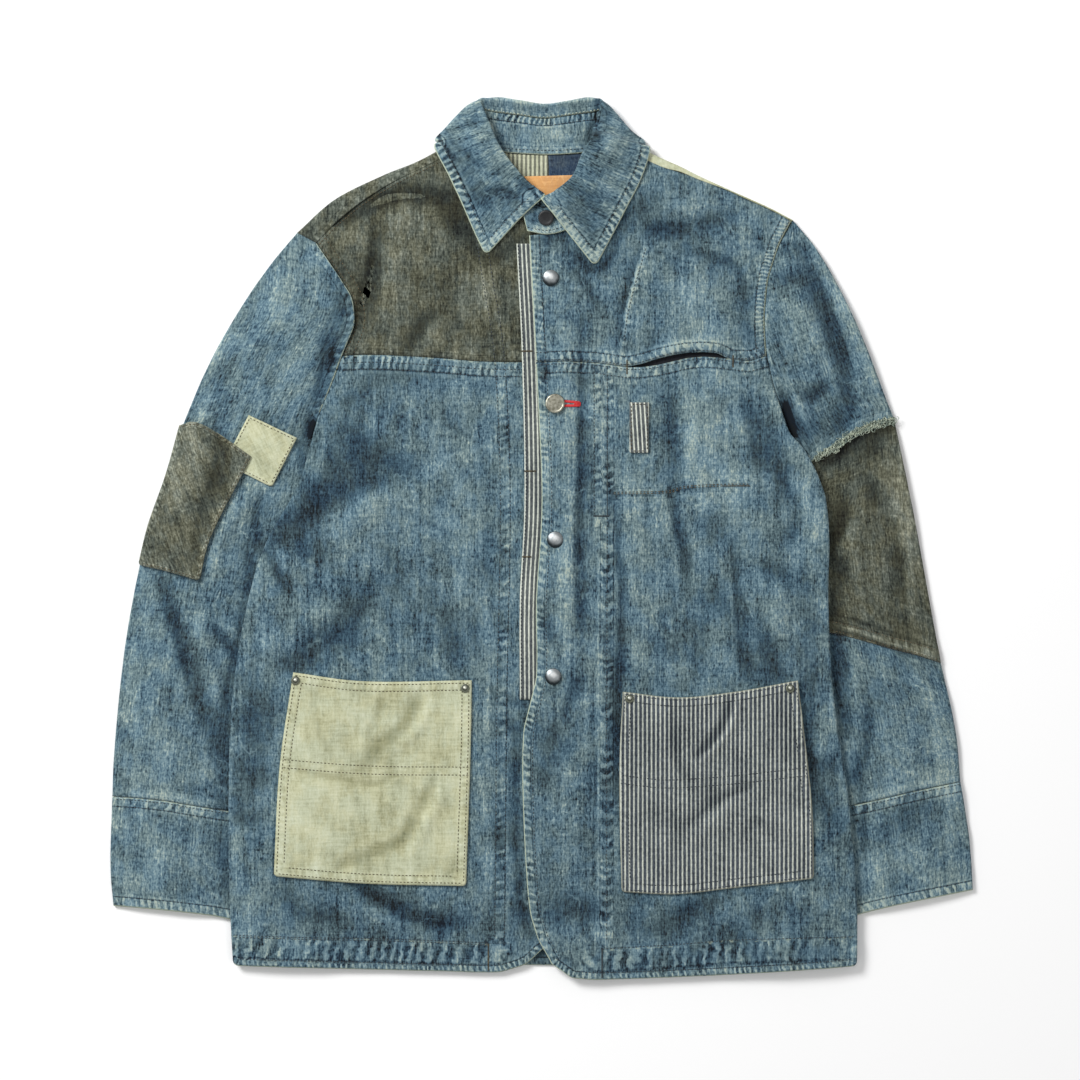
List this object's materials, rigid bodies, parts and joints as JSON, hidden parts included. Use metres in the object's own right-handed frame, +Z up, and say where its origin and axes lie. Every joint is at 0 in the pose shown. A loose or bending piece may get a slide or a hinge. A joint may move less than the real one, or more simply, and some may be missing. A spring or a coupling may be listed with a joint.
{
  "type": "patched boro jacket",
  "caption": "Washed denim work jacket with boro style patches, laid flat on its back with the pointed collar buttoned and the sleeves at its sides",
  "frame": {"origin": "on the surface the jacket lies on, below the middle of its outline", "axes": "+X towards the wearer's left, +Y towards the collar, +Z up out of the front"},
  "size_m": [0.7555, 0.7714, 0.0201],
  "materials": {
    "blue_denim": "washed blue twill, matte",
    "olive_denim": "faded olive black twill, matte",
    "off_white_cotton": "off-white cotton, matte",
    "hickory_stripe": "dark cloth with narrow cream stripes",
    "indigo_cloth": "dark indigo, matte",
    "label_cloth": "orange-tan label, bare",
    "pewter": "aged pewter",
    "dark_button": "dark, satin"
  },
  "bodies": {
    "root": {"back_neck_dark": "indigo_cloth", "back_neck_stripe": "hickory_stripe", "back_panel": "blue_denim", "back_yoke_left": "off_white_cotton", "back_yoke_right": "olive_denim", "chest_pocket_bag": "indigo_cloth", "chest_tab": "hickory_stripe", "collar_button": "dark_button", "collar_fall": "blue_denim", "collar_stand": "blue_denim", "cuff_left_back": "blue_denim", "cuff_left_front": "blue_denim", "cuff_right_back": "blue_denim", "cuff_right_front": "blue_denim", "elbow_patch": "olive_denim", "front_left": "blue_denim", "front_left_yoke": "blue_denim", "front_right": "blue_denim", "front_right_yoke": "olive_denim", "neck_label": "label_cloth", "pocket_left": "hickory_stripe", "pocket_right": "off_white_cotton", "rivet_left_inner": "pewter", "rivet_left_outer": "pewter", "rivet_right_inner": "pewter", "rivet_right_outer": "pewter", "shank_button": "pewter", "sleeve_left_fray": "off_white_cotton", "sleeve_left_lower_back": "blue_denim", "sleeve_left_lower_front": "blue_denim", "sleeve_left_panel_back": "olive_denim", "sleeve_left_panel_front": "olive_denim", "sleeve_left_upper_back": "blue_denim", "sleeve_left_upper_front": "blue_denim", "sleeve_right_back": "blue_denim", "sleeve_right_front": "blue_denim", "small_patch": "off_white_cotton", "snap_low": "pewter", "snap_middle": "pewter", "snap_top": "pewter", "stripe_facing": "hickory_stripe"}
  },
  "joints": []
}
